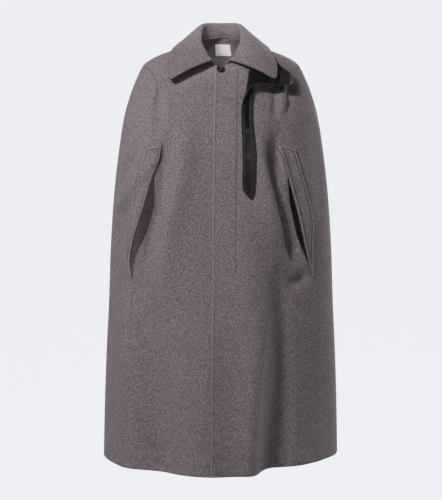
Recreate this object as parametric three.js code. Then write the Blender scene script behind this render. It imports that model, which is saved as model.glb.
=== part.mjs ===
// Wool cape coat in the form that it has when worn, with nobody in it.
// Millimetres, +Z up, +X to the right as seen from the front, -Y to the front.
// The origin lies on the shoulder line at the base of the neck, where the wearer's shoulders hold the cape.
import * as THREE from "three";

// Driving dimensions
const CLOTH = 3; // double-faced coating
const SEAM_GAP = 0.3; // between two pieces that are sewn together
const NECK_GAP = 0.4; // between the collar and the neck edge
const LAYER_GAP = 0.35; // between two pieces that lie on each other

// Sections of the cape from the neck edge to the hem. side is half the width at the side seams, front and
// back are the depths from the shoulder plane, and the z columns are the heights at the side, centre front
// and centre back. square is the exponent of the outline: 2 is an ellipse, more is squarer.
const SECTIONS = [
  { side: 61, front: 74, back: 52, sideZ: 13, frontZ: -70, backZ: 30, square: 2.0 },
  { side: 101, front: 92, back: 67, sideZ: -6, frontZ: -96, backZ: 5, square: 2.05 },
  { side: 162, front: 107, back: 82, sideZ: -28, frontZ: -127, backZ: -30, square: 2.1 },
  { side: 200, front: 118, back: 96, sideZ: -51, frontZ: -156, backZ: -63, square: 2.15 },
  { side: 212, front: 123, back: 102, sideZ: -74, frontZ: -178, backZ: -86, square: 2.2 },
  { side: 229, front: 131, back: 113, sideZ: -112, frontZ: -213, backZ: -125, square: 2.22 },
  { side: 242, front: 138, back: 122, sideZ: -153, frontZ: -248, backZ: -166, square: 2.24 },
  { side: 253, front: 144, back: 130, sideZ: -195, frontZ: -284, backZ: -207, square: 2.26 },
  { side: 268, front: 155, back: 144, sideZ: -299, frontZ: -368, backZ: -307, square: 2.28 },
  { side: 279, front: 165, back: 157, sideZ: -403, frontZ: -454, backZ: -408, square: 2.28 },
  { side: 287, front: 177, back: 171, sideZ: -533, frontZ: -566, backZ: -536, square: 2.26 },
  { side: 291, front: 190, back: 185, sideZ: -663, frontZ: -684, backZ: -665, square: 2.24 },
  { side: 297, front: 203, back: 199, sideZ: -793, frontZ: -806, backZ: -795, square: 2.22 },
  { side: 301, front: 217, back: 213, sideZ: -923, frontZ: -934, backZ: -926, square: 2.2 },
  { side: 303, front: 230, back: 227, sideZ: -1056, frontZ: -1071, backZ: -1062, square: 2.2 },
];
const HEM_ROW = SECTIONS.length - 1;

// Large folds. top, mid and end are the angles from centre front in degrees, positive to +X, where the fold
// starts, half way down and at its end or the hem. depth is at its deepest row, in the hollow of a trough,
// negative for a ridge. near and far are its widths in degrees towards smaller and larger angles.
const FOLDS = [
  { top: 30, mid: 35.5, end: 29, topRow: 8, deepRow: 14, endRow: 22, depth: 57, near: 9, far: 24 },
  { top: 62, mid: 66, end: 68, topRow: 9, deepRow: 14, endRow: 22, depth: 18, near: 14, far: 12 },
  { top: 32, mid: 42, end: 54, topRow: 4.6, deepRow: 7.6, endRow: 11.8, depth: 13, near: 6.5, far: 5.5 },
  { top: -33, mid: -42, end: -50, topRow: 5.2, deepRow: 8.2, endRow: 11.5, depth: -7, near: 9, far: 8 },
  { top: -66, mid: -63, end: -60, topRow: 8.3, deepRow: 10.6, endRow: 14.5, depth: 10, near: 9, far: 9 },
  { top: -27, mid: -30, end: -31, topRow: 10, deepRow: 14, endRow: 20, depth: 8, near: 9, far: 9 },
  { top: -149, mid: -150, end: -152, topRow: 6.5, deepRow: 14, endRow: 20, depth: 34, near: 12, far: 12 },
  { top: 146, mid: 148, end: 149, topRow: 7.5, deepRow: 14, endRow: 20, depth: 40, near: 13, far: 11 },
  { top: -113, mid: -114, end: -116, topRow: 8.5, deepRow: 14, endRow: 20, depth: 22, near: 11, far: 12 },
  { top: 112, mid: 113, end: 115, topRow: 9, deepRow: 14, endRow: 20, depth: 20, near: 12, far: 10 },
];

// Front opening: the +X front laps over the -X front and hides its closure behind a stitched strip
const LAP_TOP = 15; // past centre front at the neck
const LAP_HEM = 24; // past centre front at the hem
const LAP_EASE = 75; // the lower front comes level with the upper one this far from its edge
const LAP_EASE_NECK = 38; // the same along the neck seam
const PLACKET_WIDTH = 57;
const PLACKET_CLOTH = 2.5;
const PLACKET_END_Z = -592;
const PLACKET_TOP_ROW = 0.2;

// Arm slits, as seen from the front: distance from the centre plane at both ends of each
const SLIT_CLOSED = 1; // between the edges where they meet
const SLIT_TOP_Z = -273;
const SLIT_END_Z = -600;
const LEFT_SLIT = { name: "left", topX: 148, endX: 226 };
const RIGHT_SLIT = { name: "right", topX: 146, endX: 228 };
// Waves in the slits' edges: how far an edge is drawn aside and stands out of the cape's form, and the parts of
// the slit's length where it leaves its line, is furthest from it, and is back on it
const SLIT_WAVES = [
  { slit: "left", edge: "front", draw: 8, lift: 2, from: 0, full: 0.1, fullEnd: 0.16, to: 0.28 },
  { slit: "left", edge: "front", draw: 21, lift: 7, from: 0.2, full: 0.52, fullEnd: 0.66, to: 0.93 },
  { slit: "left", edge: "back", draw: -4, lift: -1, from: 0, full: 0.1, fullEnd: 0.16, to: 0.28 },
  { slit: "left", edge: "back", draw: 14, lift: -3, from: 0.5, full: 0.83, fullEnd: 0.88, to: 1 },
  { slit: "right", edge: "front", draw: 11, lift: -11, from: 0.28, full: 0.52, fullEnd: 0.75, to: 0.94 },
  { slit: "right", edge: "back", draw: -3, lift: 1, from: 0.2, full: 0.5, fullEnd: 0.75, to: 1 },
];
// Strip on the outer side of each slit: it narrows to a point at the lower end, and its top edge slants
const WELT_WIDTH = 37;
const WELT_POINT = 4;
const WELT_TAPER_FROM = 0.62; // part of the slit's length
const WELT_FADE_ROWS = 1.5; // below the slit, where the columns spread out again
const WELT_TOP_SLANT = 24; // its outer corner lies lower than its row by this
const WELT_CLOTH = 2.2;
const WELT_GAP = 0.6; // under the strip, which bridges the bends of the front

// Collar, half of it from centre back to its front end. neckTurn is the place on the neck seam, roll is the
// folded top line, edgeTurn and edgeRow the place over the cape where the outer edge lies, lift its height
// over the cloth there, and bulge how far the fall bows out between the two.
const COLLAR = [
  { neckTurn: 180, rollX: 0, rollY: 47, rollZ: 59, edgeTurn: 180, edgeRow: 1.85, lift: 5, bulge: 6 },
  { neckTurn: 158, rollX: 22, rollY: 45, rollZ: 59, edgeTurn: 156, edgeRow: 1.75, lift: 5, bulge: 4 },
  { neckTurn: 136, rollX: 41, rollY: 36, rollZ: 57, edgeTurn: 130, edgeRow: 1.58, lift: 5, bulge: 3 },
  { neckTurn: 114, rollX: 51, rollY: 20, rollZ: 49, edgeTurn: 109, edgeRow: 1.42, lift: 4, bulge: 2 },
  { neckTurn: 92, rollX: 55, rollY: -1, rollZ: 37, edgeTurn: 90, edgeRow: 1.34, lift: 4, bulge: 2 },
  { neckTurn: 74, rollX: 56, rollY: -20, rollZ: 22, edgeTurn: 74, edgeRow: 1.43, lift: 4, bulge: 3 },
  { neckTurn: 58, rollX: 56, rollY: -37, rollZ: 3, edgeTurn: 62, edgeRow: 1.7, lift: 5, bulge: 5 },
  { neckTurn: 44, rollX: 49.5, rollY: -52, rollZ: -17, edgeTurn: 52, edgeRow: 2.08, lift: 6, bulge: 9 },
  { neckTurn: 31, rollX: 38.5, rollY: -65, rollZ: -41, edgeTurn: 44.5, edgeRow: 2.49, lift: 7, bulge: 12 },
  { neckTurn: 20, rollX: 24, rollY: -75, rollZ: -60.3, edgeTurn: 38.5, edgeRow: 2.96, lift: 8, bulge: 14 },
];
const ROLL_RADIUS = 6;
const ROLL_RADIUS_FRONT = 4.5;
const TIP_RADIUS = 7;
const FRONT_FROM = 3.5; // row of the table where the roll starts to grow thinner
const FRONT_FULL = 7;
const RIGHT_WING_LIFT = 15; // the strap lies under the +X wing
const WING_BOW = 0.4; // of that lift, added to its bulge
const RIGHT_WING_SPREAD = 0.24; // of a row further out
const RIGHT_WING_FROM = 5.4; // row of the table where both start
const RIGHT_WING_FULL = 8.8;

// Leather strap as seen from the front: its two edges, with the height over the cape, from its sewn end under
// the collar round the loop and the twist to its point.
const STRAP_LEATHER = 2;
const STRAP = [
  { outX: 74, outZ: -40, outLift: 3.5, inX: 52, inZ: -64, inLift: 3.5 },
  { outX: 112, outZ: -50, outLift: 4, inX: 88, inZ: -84, inLift: 4 },
  { outX: 140, outZ: -63, outLift: 4.5, inX: 117, inZ: -101, inLift: 4.5 },
  { outX: 158, outZ: -78, outLift: 5.5, inX: 140, inZ: -117, inLift: 6 },
  { outX: 166, outZ: -84, outLift: 8, inX: 166, inZ: -122, inLift: 8.5 },
  { outX: 169, outZ: -90, outLift: 12, inX: 177, inZ: -114, inLift: 12 },
  { outX: 160, outZ: -92, outLift: 15.5, inX: 170, inZ: -122, inLift: 16 },
  { outX: 143, outZ: -88, outLift: 16, inX: 150, inZ: -127, inLift: 17 },
  { outX: 120, outZ: -86, outLift: 16, inX: 126, inZ: -127, inLift: 17.5 },
  { outX: 97, outZ: -83, outLift: 15.5, inX: 103, inZ: -127, inLift: 18 },
  { outX: 82, outZ: -82, outLift: 15, inX: 90, inZ: -128.5, inLift: 19 },
  { outX: 73, outZ: -84, outLift: 14, inX: 75, inZ: -135, inLift: 20.5 },
  { outX: 69.5, outZ: -90, outLift: 12, inX: 60, inZ: -150, inLift: 20.5 },
  { outX: 76, outZ: -108, outLift: 8, inX: 56, inZ: -159, inLift: 17 },
  { outX: 81, outZ: -130, outLift: 5.5, inX: 52, inZ: -169, inLift: 12.5 },
  { outX: 80, outZ: -152, outLift: 4.5, inX: 50, inZ: -181, inLift: 9 },
  { outX: 77, outZ: -177, outLift: 4.5, inX: 49, inZ: -196, inLift: 7 },
  { outX: 76, outZ: -207, outLift: 4.5, inX: 50, inZ: -216, inLift: 5.5 },
  { outX: 79.5, outZ: -248, outLift: 4.5, inX: 51, inZ: -252, inLift: 4.5 },
  { outX: 82.5, outZ: -290, outLift: 4, inX: 52, inZ: -291, inLift: 4 },
  { outX: 82.5, outZ: -338, outLift: 4, inX: 52.5, inZ: -338, inLift: 4 },
  { outX: 81, outZ: -390, outLift: 4, inX: 52.5, inZ: -387, inLift: 4 },
  { outX: 74.5, outZ: -408, outLift: 4, inX: 70.5, inZ: -409, inLift: 4 },
];

const STRAP_STEPS = 2; // between two rows of the table
const STRAP_ACROSS = 2;

// Button at the neck and the label inside the back
const BUTTON = { diameter: 21, height: 4.2, rim: 2.6, dish: 1.5, foot: 1.6, shank: 1.2, x: -1, z: -81 };
const BUTTON_FACETS = 28;
const LABEL = { width: 42, height: 32, cloth: 1, gap: 0.6, turn: 177, topRow: 0.62, lines: 4, columns: 6 };

// Grid of the cape: rows between named places down the cape, and columns across each piece
const ROWS_TO_SHOULDER = 8;
const ROWS_TO_SLIT = 7;
const ROWS_ALONG_SLIT = 11;
const ROWS_TO_HEM = 11;
const SHOULDER_ROW = 3;
const COLUMNS_ON_LAP = 3;
const COLUMNS_TO_SLIT = 9;
const COLUMNS_ON_WELT = 3;
const WELT_SHARE = 0.55; // of the way from the slit to the side seam, at most
const COLUMNS_TO_SEAM = 3;
const COLUMNS_ON_BACK = 28;
// Angle of the slit's column carried on to the neck and to the hem
const COLUMN_TURN_NECK = 62;
const COLUMN_TURN_HEM = 58;
const COLLAR_STATIONS = 21; // on each half
const STATION_CROWDING = 1.4;
const COLLAR_HALF_LENGTH = 235; // along the outer edge
const STAND_STEPS = 3;
const FALL_STEPS = 8;
// The side seam lies a little in front of the outline at the shoulder and runs back to it lower down
const SEAM_TURN_TOP = 86;
const SEAM_TURN_HEM = 90;

// Colours seen in the photo
const WOOL = new THREE.Color(0.16, 0.13, 0.15);
const LEATHER = new THREE.Color(0.014, 0.014, 0.016);
const HORN = new THREE.Color(0.03, 0.02, 0.016);
const LABEL_WHITE = new THREE.Color(0.8, 0.78, 0.82);

const { lerp, degToRad, clamp, smoothstep } = THREE.MathUtils;

// Values of a table between its rows, on a smooth curve through them
function valueAt(table, name, place) {
  const row = clamp(place, 0, table.length - 1);
  const i = Math.min(Math.floor(row), table.length - 2);
  const t = row - i;
  const at = (k) => table[clamp(k, 0, table.length - 1)][name];
  const [before, start, end, after] = [at(i - 1), at(i), at(i + 1), at(i + 2)];
  const startSlope = i === 0 ? end - start : (end - before) / 2;
  const endSlope = i === table.length - 2 ? end - start : (after - start) / 2;
  const t2 = t * t;
  const t3 = t2 * t;
  const ends = (2 * t3 - 3 * t2 + 1) * start + (3 * t2 - 2 * t3) * end;
  return ends + (t3 - 2 * t2 + t) * startSlope + (t3 - t2) * endSlope;
}

// Depth of all folds together at a place on the cape
function foldDepth(turn, row) {
  let depth = 0;
  for (const fold of FOLDS) {
    if (row <= fold.topRow || row >= fold.endRow) continue;
    const down = (row - fold.topRow) / (Math.min(fold.endRow, HEM_ROW) - fold.topRow);
    const bow = 4 * (fold.mid - (fold.top + fold.end) / 2);
    const middle = lerp(fold.top, fold.end, down) + bow * down * (1 - down);
    const away = turn - middle;
    const width = away < 0 ? fold.near : fold.far;
    const growing = smoothstep(row, fold.topRow, fold.deepRow);
    const fading = 1 - smoothstep(row, fold.deepRow, fold.endRow);
    depth += fold.depth * growing * fading * Math.exp(-((away / width) ** 2));
  }
  return depth;
}

// A point on the outer face of the cape
function capePoint(turn, row) {
  const angle = degToRad(turn);
  const across = Math.sin(angle);
  const ahead = Math.cos(angle);
  const square = valueAt(SECTIONS, "square", row);
  const reach = (Math.abs(across) ** square + Math.abs(ahead) ** square) ** (-1 / square);
  const depth = valueAt(SECTIONS, ahead > 0 ? "front" : "back", row);
  const sideZ = valueAt(SECTIONS, "sideZ", row);
  const endZ = valueAt(SECTIONS, ahead > 0 ? "frontZ" : "backZ", row);
  const inward = foldDepth(turn, row);
  return new THREE.Vector3(
    valueAt(SECTIONS, "side", row) * reach * across - inward * across,
    -depth * reach * ahead + inward * ahead,
    lerp(sideZ, endZ, ahead * ahead),
  );
}

// The cape's outward direction at a place
function capeNormal(turn, row) {
  const turnStep = 0.4;
  const rowStep = 0.04;
  const above = Math.max(row - rowStep, 0);
  const below = Math.min(row + rowStep, HEM_ROW);
  const sideways = capePoint(turn + turnStep, row).sub(capePoint(turn - turnStep, row));
  const downwards = capePoint(turn, below).sub(capePoint(turn, above));
  return downwards.cross(sideways).normalize();
}

// A point at a height over the cape's outer face, and the cape's direction there
function overCape(turn, row, lift) {
  const normal = capeNormal(turn, row);
  return { point: capePoint(turn, row).addScaledVector(normal, lift), normal };
}

// Millimetres across the cape to one degree, at a place
function turnSpeed(turn, row) {
  return capePoint(turn + 0.5, row).distanceTo(capePoint(turn - 0.5, row));
}

const SEARCH_STEPS = 24;
const WIDEST_TURN = 88;

// The turn at which a section reaches a distance x from the centre plane, in front of the side seam
function turnAtX(x, row) {
  let low = -WIDEST_TURN;
  let high = WIDEST_TURN;
  for (let step = 0; step < SEARCH_STEPS; step++) {
    const middle = (low + high) / 2;
    if (capePoint(middle, row).x < x) low = middle;
    else high = middle;
  }
  return (low + high) / 2;
}

// The place on the cape's front that is seen from the front at x and z
function placeAt(x, z) {
  let low = 0;
  let high = HEM_ROW;
  for (let step = 0; step < SEARCH_STEPS; step++) {
    const row = (low + high) / 2;
    if (capePoint(turnAtX(x, row), row).z > z) low = row;
    else high = row;
  }
  const row = (low + high) / 2;
  return { turn: turnAtX(x, row), row };
}

// Closed solid from one face of a sheet. vertices hold a point on the face and its direction; the sheet goes
// thickness deep behind it. Faces are quads, counter-clockwise as seen from the face's outside.
function sheetSolid(vertices, quads, thickness) {
  const count = vertices.length;
  const positions = [];
  for (const { point } of vertices) positions.push(point.x, point.y, point.z);
  for (const { point, normal } of vertices) {
    const behind = point.clone().addScaledVector(normal, -thickness);
    positions.push(behind.x, behind.y, behind.z);
  }
  const index = [];
  const edges = new Map();
  for (const quad of quads) {
    const [a, b, c, d] = quad;
    index.push(a, b, c, a, c, d);
    index.push(a + count, c + count, b + count, a + count, d + count, c + count);
    quad.forEach((from, k) => {
      const to = quad[(k + 1) % 4];
      if (edges.has(to + "," + from)) edges.delete(to + "," + from);
      else edges.set(from + "," + to, [from, to]);
    });
  }
  for (const [from, to] of edges.values()) {
    index.push(from, from + count, to + count, from, to + count, to);
  }
  const geometry = new THREE.BufferGeometry();
  geometry.setAttribute("position", new THREE.Float32BufferAttribute(positions, 3));
  geometry.setIndex(index);
  return geometry;
}

// The same for a plain grid of vertices
function gridSolid(grid, thickness, reversed = false) {
  const columns = grid[0].length;
  const quads = [];
  for (let i = 0; i + 1 < grid.length; i++) {
    for (let j = 0; j + 1 < columns; j++) {
      const quad = [i * columns + j, (i + 1) * columns + j, (i + 1) * columns + j + 1, i * columns + j + 1];
      quads.push(reversed ? quad.reverse() : quad);
    }
  }
  return sheetSolid(grid.flat(), quads, thickness);
}

// Directions of a grid of points from its own faces
function withNormals(points, sign = 1) {
  const last = points.length - 1;
  const end = points[0].length - 1;
  return points.map((line, i) =>
    line.map((point, j) => {
      const down = points[Math.min(i + 1, last)][j].clone().sub(points[Math.max(i - 1, 0)][j]);
      const along = points[i][Math.min(j + 1, end)].clone().sub(points[i][Math.max(j - 1, 0)]);
      return { point, normal: down.cross(along).normalize().multiplyScalar(sign) };
    }),
  );
}

function steps(from, to, count) {
  return Array.from({ length: count }, (_, k) => lerp(from, to, k / count));
}

const slitTopRow = placeAt(RIGHT_SLIT.topX, SLIT_TOP_Z).row;
const slitEndRow = placeAt(RIGHT_SLIT.endX, SLIT_END_Z).row;
const rows = [
  ...steps(0, SHOULDER_ROW, ROWS_TO_SHOULDER),
  ...steps(SHOULDER_ROW, slitTopRow, ROWS_TO_SLIT),
  ...steps(slitTopRow, slitEndRow, ROWS_ALONG_SLIT),
  ...steps(slitEndRow, HEM_ROW, ROWS_TO_HEM),
  HEM_ROW,
];
const slitFirst = ROWS_TO_SHOULDER + ROWS_TO_SLIT;
const slitLast = slitFirst + ROWS_ALONG_SLIT;

// Turn of the side seam at a row, moved by a distance in mm towards the front or the back
function seamTurn(row, side, shift) {
  const turn = side * lerp(SEAM_TURN_TOP, SEAM_TURN_HEM, smoothstep(row, 5, 10));
  return turn + (side * shift) / turnSpeed(turn, row);
}

// Distance of the lap's free edge past centre front, at a row
function lapAt(row) {
  return lerp(LAP_TOP, LAP_HEM, row / HEM_ROW);
}

// How far the lower front lies behind the upper one: behind the strip too as far down as that goes
const placketEnd = placeAt(0, PLACKET_END_Z).row;
function underLap(row) {
  const behindStrip = CLOTH + PLACKET_CLOTH + 2 * LAYER_GAP;
  const behindFront = CLOTH + LAYER_GAP;
  return lerp(behindStrip, behindFront, smoothstep(row, placketEnd + 0.15, placketEnd + 1.2));
}

// Height of the lower front over the cape's form: it dives under the upper front's edge
function lowerLift(turn, row) {
  const pastEdge = -capePoint(turn, row).x - lapAt(row);
  const ease = lerp(LAP_EASE_NECK, LAP_EASE, smoothstep(row, 0, SHOULDER_ROW));
  return -underLap(row) * (1 - smoothstep(pastEdge, 0, ease));
}

// Turns of the columns in the lapped band at a row, from the free edge to the stitched line
function lapTurns(row) {
  const edge = -lapAt(row);
  const turns = [];
  for (let k = 0; k <= COLUMNS_ON_LAP; k++) {
    turns.push(turnAtX(edge + (PLACKET_WIDTH * k) / COLUMNS_ON_LAP, row));
  }
  return turns;
}

// Angle from centre front of a slit's line, carried on above and below it for the columns of the grid
function slitColumnTurn(row, side, slit) {
  const along = (row - slitTopRow) / (slitEndRow - slitTopRow);
  const x = side * lerp(slit.topX, slit.endX, clamp(along, 0, 1));
  const turn = Math.abs(turnAtX(x, clamp(row, slitTopRow, slitEndRow)));
  if (along < 0) return lerp(COLUMN_TURN_NECK, turn, smoothstep(row, 0, slitTopRow));
  if (along > 1) return lerp(turn, COLUMN_TURN_HEM, smoothstep(row, slitEndRow, HEM_ROW));
  return turn;
}

// How far an edge of a slit is drawn aside and lifted, at a part of the slit's length
function edgeAt(slit, edge, along) {
  const sum = { draw: SLIT_CLOSED / 2, lift: 0 };
  for (const wave of SLIT_WAVES) {
    if (wave.slit !== slit.name || wave.edge !== edge) continue;
    const share = smoothstep(along, wave.from, wave.full) * (1 - smoothstep(along, wave.fullEnd, wave.to));
    sum.draw += wave.draw * share;
    sum.lift += wave.lift * share;
  }
  return sum;
}

const WHOLE_CLOTH = { draw: 0, lift: 0 };

// One front. side is 1 for the +X front, which laps over, and -1 for the other.
// Columns run from centre front to the side seam, and the slit's column is there twice along the slit.
function frontPiece(side, slit) {
  const vertices = [];
  const quads = [];
  const grid = [];
  const add = (turn, row, lift) => vertices.push(overCape(turn, row, lift)) - 1;
  rows.forEach((row, i) => {
    const line = { inner: [], outer: [] };
    const lap = lapTurns(row);
    // The lower front starts two columns inside the upper front's edge
    const bandTurns = side > 0 ? lap : [lap[2], lap[1], lap[0]];
    for (const turn of bandTurns) line.inner.push(add(turn, row, side > 0 ? 0 : lowerLift(turn, row)));
    const along = clamp((row - slitTopRow) / (slitEndRow - slitTopRow), 0, 1);
    const isOpen = i > slitFirst && i < slitLast;
    const front = isOpen ? edgeAt(slit, "front", along) : WHOLE_CLOTH;
    const back = isOpen ? edgeAt(slit, "back", along) : WHOLE_CLOTH;
    const middle = slitColumnTurn(row, side, slit);
    const speed = turnSpeed(middle, row);
    const innerTurn = middle - front.draw / speed;
    const outerTurn = middle + back.draw / speed;
    const from = Math.abs(bandTurns[bandTurns.length - 1]);
    for (let k = 1; k < COLUMNS_TO_SLIT; k++) {
      const part = k / COLUMNS_TO_SLIT;
      const turn = side * lerp(from, innerTurn, part);
      const lift = front.lift * part ** 4;
      line.inner.push(add(turn, row, side > 0 ? lift : lift + lowerLift(turn, row)));
    }
    const slitInner = add(side * innerTurn, row, front.lift);
    line.inner.push(slitInner);
    line.outer.push(isOpen ? add(side * outerTurn, row, back.lift) : slitInner);
    const below = smoothstep(row, slitEndRow, slitEndRow + WELT_FADE_ROWS);
    const taper = smoothstep(along, WELT_TAPER_FROM, 1) * (1 - below);
    const end = Math.abs(seamTurn(row, side, -SEAM_GAP / 2));
    const weltWidth = lerp(WELT_WIDTH, WELT_POINT, taper) / speed;
    const weltTurn = outerTurn + Math.min(weltWidth, (end - outerTurn) * WELT_SHARE);
    for (let k = 1; k <= COLUMNS_ON_WELT; k++) {
      const part = k / COLUMNS_ON_WELT;
      const lift = back.lift * (1 - part);
      line.outer.push(add(side * lerp(outerTurn, weltTurn, part), row, lift));
    }
    for (let k = 1; k <= COLUMNS_TO_SEAM; k++) {
      line.outer.push(add(side * lerp(weltTurn, end, k / COLUMNS_TO_SEAM), row, 0));
    }
    grid.push(line);
  });
  const face = (above, below, j) => {
    const quad = [above[j], below[j], below[j + 1], above[j + 1]];
    quads.push(side > 0 ? quad : quad.reverse());
  };
  for (let i = 0; i + 1 < rows.length; i++) {
    for (const part of ["inner", "outer"]) {
      for (let j = 0; j + 1 < grid[i][part].length; j++) face(grid[i][part], grid[i + 1][part], j);
    }
  }
  return { geometry: sheetSolid(vertices, quads, CLOTH), vertices, grid };
}

// The strip sewn on the outer side of a slit, made from its front's points
function slitWelt(front, side) {
  const rowHeight = (SLIT_TOP_Z - SLIT_END_Z) / ROWS_ALONG_SLIT;
  const lines = [];
  for (let i = 0; i <= ROWS_ALONG_SLIT; i++) {
    const line = [];
    for (let k = 0; k <= COLUMNS_ON_WELT; k++) {
      const start = (WELT_TOP_SLANT / rowHeight) * (k / COLUMNS_ON_WELT);
      const place = slitFirst + lerp(start, ROWS_ALONG_SLIT, i / ROWS_ALONG_SLIT);
      const above = Math.min(Math.floor(place), slitLast - 1);
      const [upper, lower] = [above, above + 1].map((at) => front.vertices[front.grid[at].outer[k]]);
      const normal = upper.normal.clone().lerp(lower.normal, place - above).normalize();
      const point = upper.point.clone().lerp(lower.point, place - above);
      line.push({ point: point.addScaledVector(normal, WELT_GAP + WELT_CLOTH), normal });
    }
    lines.push(line);
  }
  return gridSolid(lines, WELT_CLOTH, side < 0);
}

// The strip behind the upper front's edge that hides the closure
function placketStrip() {
  const lines = rows
    .filter((row) => row > PLACKET_TOP_ROW && row <= placketEnd)
    .map((row) => lapTurns(row).map((turn) => overCape(turn, row, -CLOTH - LAYER_GAP)));
  return gridSolid(lines, PLACKET_CLOTH);
}

function backPiece() {
  const lines = rows.map((row) => {
    const from = seamTurn(row, 1, SEAM_GAP / 2);
    const to = 360 + seamTurn(row, -1, SEAM_GAP / 2);
    const line = [];
    for (let j = 0; j <= COLUMNS_ON_BACK; j++) {
      const turn = lerp(from, to, j / COLUMNS_ON_BACK);
      line.push(overCape(turn > 180 ? turn - 360 : turn, row, 0));
    }
    return line;
  });
  return gridSolid(lines, CLOTH);
}

// Parts of the collar's length at which it is cut across, closer together at the rounded tips
function collarStations() {
  const stations = [];
  for (let i = -COLLAR_STATIONS; i <= COLLAR_STATIONS; i++) {
    const part = i / COLLAR_STATIONS;
    stations.push(Math.sign(part) * (1 - (1 - Math.abs(part)) ** STATION_CROWDING));
  }
  return stations;
}

// The collar: one sheet that rises from the neck seam, rolls over and falls outwards
function collarPiece() {
  const last = COLLAR.length - 1;
  const lines = [];
  const feet = [];
  const upAxis = new THREE.Vector3(0, 0, 1);
  for (const station of collarStations()) {
    const side = station < 0 ? -1 : 1;
    const place = Math.abs(station) * last;
    const at = (name) => valueAt(COLLAR, name, place);
    const front = smoothstep(place, FRONT_FROM, FRONT_FULL);
    const neckTurn = side * at("neckTurn");
    const seam = overCape(neckTurn, 0, side < 0 ? lowerLift(neckTurn, 0) : 0);
    const upwards = capePoint(neckTurn, 0).sub(capePoint(neckTurn, 0.05)).normalize();
    const foot = seam.point.clone().addScaledVector(upwards, NECK_GAP).addScaledVector(seam.normal, -CLOTH);
    const roll = new THREE.Vector3(side * at("rollX"), at("rollY"), at("rollZ"));
    const radius = lerp(ROLL_RADIUS, ROLL_RADIUS_FRONT, front);
    const wing = side > 0 ? smoothstep(place, RIGHT_WING_FROM, RIGHT_WING_FULL) : 0;
    const edgeRow = at("edgeRow") + RIGHT_WING_SPREAD * wing;
    const wingLift = RIGHT_WING_LIFT * wing;
    const edge = overCape(side * at("edgeTurn"), edgeRow, at("lift") + wingLift);
    const outwards = edge.point.clone().sub(roll).setZ(0).normalize();
    const onRoll = (degrees) => {
      const angle = degToRad(degrees);
      const point = roll.clone().addScaledVector(outwards, radius * Math.cos(angle));
      return point.addScaledVector(upAxis, radius * Math.sin(angle));
    };
    const line = [];
    for (let k = 0; k < STAND_STEPS; k++) line.push(foot.clone().lerp(onRoll(180), k / STAND_STEPS));
    for (const degrees of [180, 135, 90, 45]) line.push(onRoll(degrees));
    const start = onRoll(45);
    const bulge = at("bulge") + WING_BOW * wingLift;
    const bend = start.clone().lerp(edge.point, 0.5).addScaledVector(edge.normal, bulge);
    // Rounds the tip by shortening the last part of the fall
    const fromTip = (1 - Math.abs(station)) * COLLAR_HALF_LENGTH;
    const inside = clamp(1 - fromTip / TIP_RADIUS, 0, 1);
    const cut = (TIP_RADIUS * (1 - Math.sqrt(1 - inside ** 2))) / start.distanceTo(edge.point);
    for (let k = 1; k <= FALL_STEPS; k++) {
      const t = (k / FALL_STEPS) * (1 - cut);
      const point = start.clone().multiplyScalar((1 - t) ** 2);
      point.addScaledVector(bend, 2 * t * (1 - t)).addScaledVector(edge.point, t * t);
      line.push(point);
    }
    lines.push(line);
    feet.push(seam.normal.clone().negate());
  }
  const grid = withNormals(lines, -1);
  grid.forEach((line, i) => line[0].normal.copy(feet[i]));
  return gridSolid(grid, CLOTH, true);
}

// The strap as a ribbon between its two edges
function strapPiece() {
  const count = (STRAP.length - 1) * STRAP_STEPS;
  const points = [];
  for (let i = 0; i <= count; i++) {
    const place = i / STRAP_STEPS;
    const at = (name) => valueAt(STRAP, name, place);
    const outPlace = placeAt(at("outX"), at("outZ"));
    const inPlace = placeAt(at("inX"), at("inZ"));
    const outer = overCape(outPlace.turn, outPlace.row, at("outLift")).point;
    const inner = overCape(inPlace.turn, inPlace.row, at("inLift")).point;
    const line = [];
    for (let j = 0; j <= STRAP_ACROSS; j++) line.push(inner.clone().lerp(outer, j / STRAP_ACROSS));
    points.push(line);
  }
  const grid = withNormals(points);
  for (const { point, normal } of grid.flat()) point.addScaledVector(normal, STRAP_LEATHER / 2);
  return gridSolid(grid, STRAP_LEATHER);
}

// Lays a geometry made around the Z axis on the cape, facing out
function layOnCape(geometry, x, z, lift) {
  const place = placeAt(x, z);
  const { point, normal } = overCape(place.turn, place.row, lift);
  const turn = new THREE.Quaternion().setFromUnitVectors(new THREE.Vector3(0, 0, 1), normal);
  return geometry.applyQuaternion(turn).translate(point.x, point.y, point.z);
}

// A sewn button: a dished disc with a raised rim
function buttonPiece() {
  const radius = BUTTON.diameter / 2;
  const profile = [
    [0, 0],
    [radius - BUTTON.foot, 0],
    [radius, BUTTON.foot],
    [radius, BUTTON.height - BUTTON.dish / 2],
    [radius - BUTTON.dish / 2, BUTTON.height],
    [radius - BUTTON.rim, BUTTON.height],
    [radius - BUTTON.rim - BUTTON.dish, BUTTON.height - BUTTON.dish],
    [0, BUTTON.height - BUTTON.dish],
  ].map(([r, z]) => new THREE.Vector2(r, z));
  const disc = new THREE.LatheGeometry(profile, BUTTON_FACETS).rotateX(Math.PI / 2);
  return layOnCape(disc, BUTTON.x, BUTTON.z, BUTTON.shank);
}

// The label inside the back, under the neck seam
function labelPiece() {
  const lines = [];
  const drop = capePoint(180, LABEL.topRow).distanceTo(capePoint(180, LABEL.topRow + 1));
  for (let i = 0; i <= LABEL.lines; i++) {
    const row = LABEL.topRow + (LABEL.height * i) / LABEL.lines / drop;
    const speed = turnSpeed(180, row);
    const line = [];
    for (let j = 0; j <= LABEL.columns; j++) {
      const turn = LABEL.turn + (LABEL.width * (j / LABEL.columns - 0.5)) / speed;
      line.push(overCape(turn > 180 ? turn - 360 : turn, row, -CLOTH - LABEL.gap));
    }
    lines.push(line);
  }
  return gridSolid(lines, LABEL.cloth);
}

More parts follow.
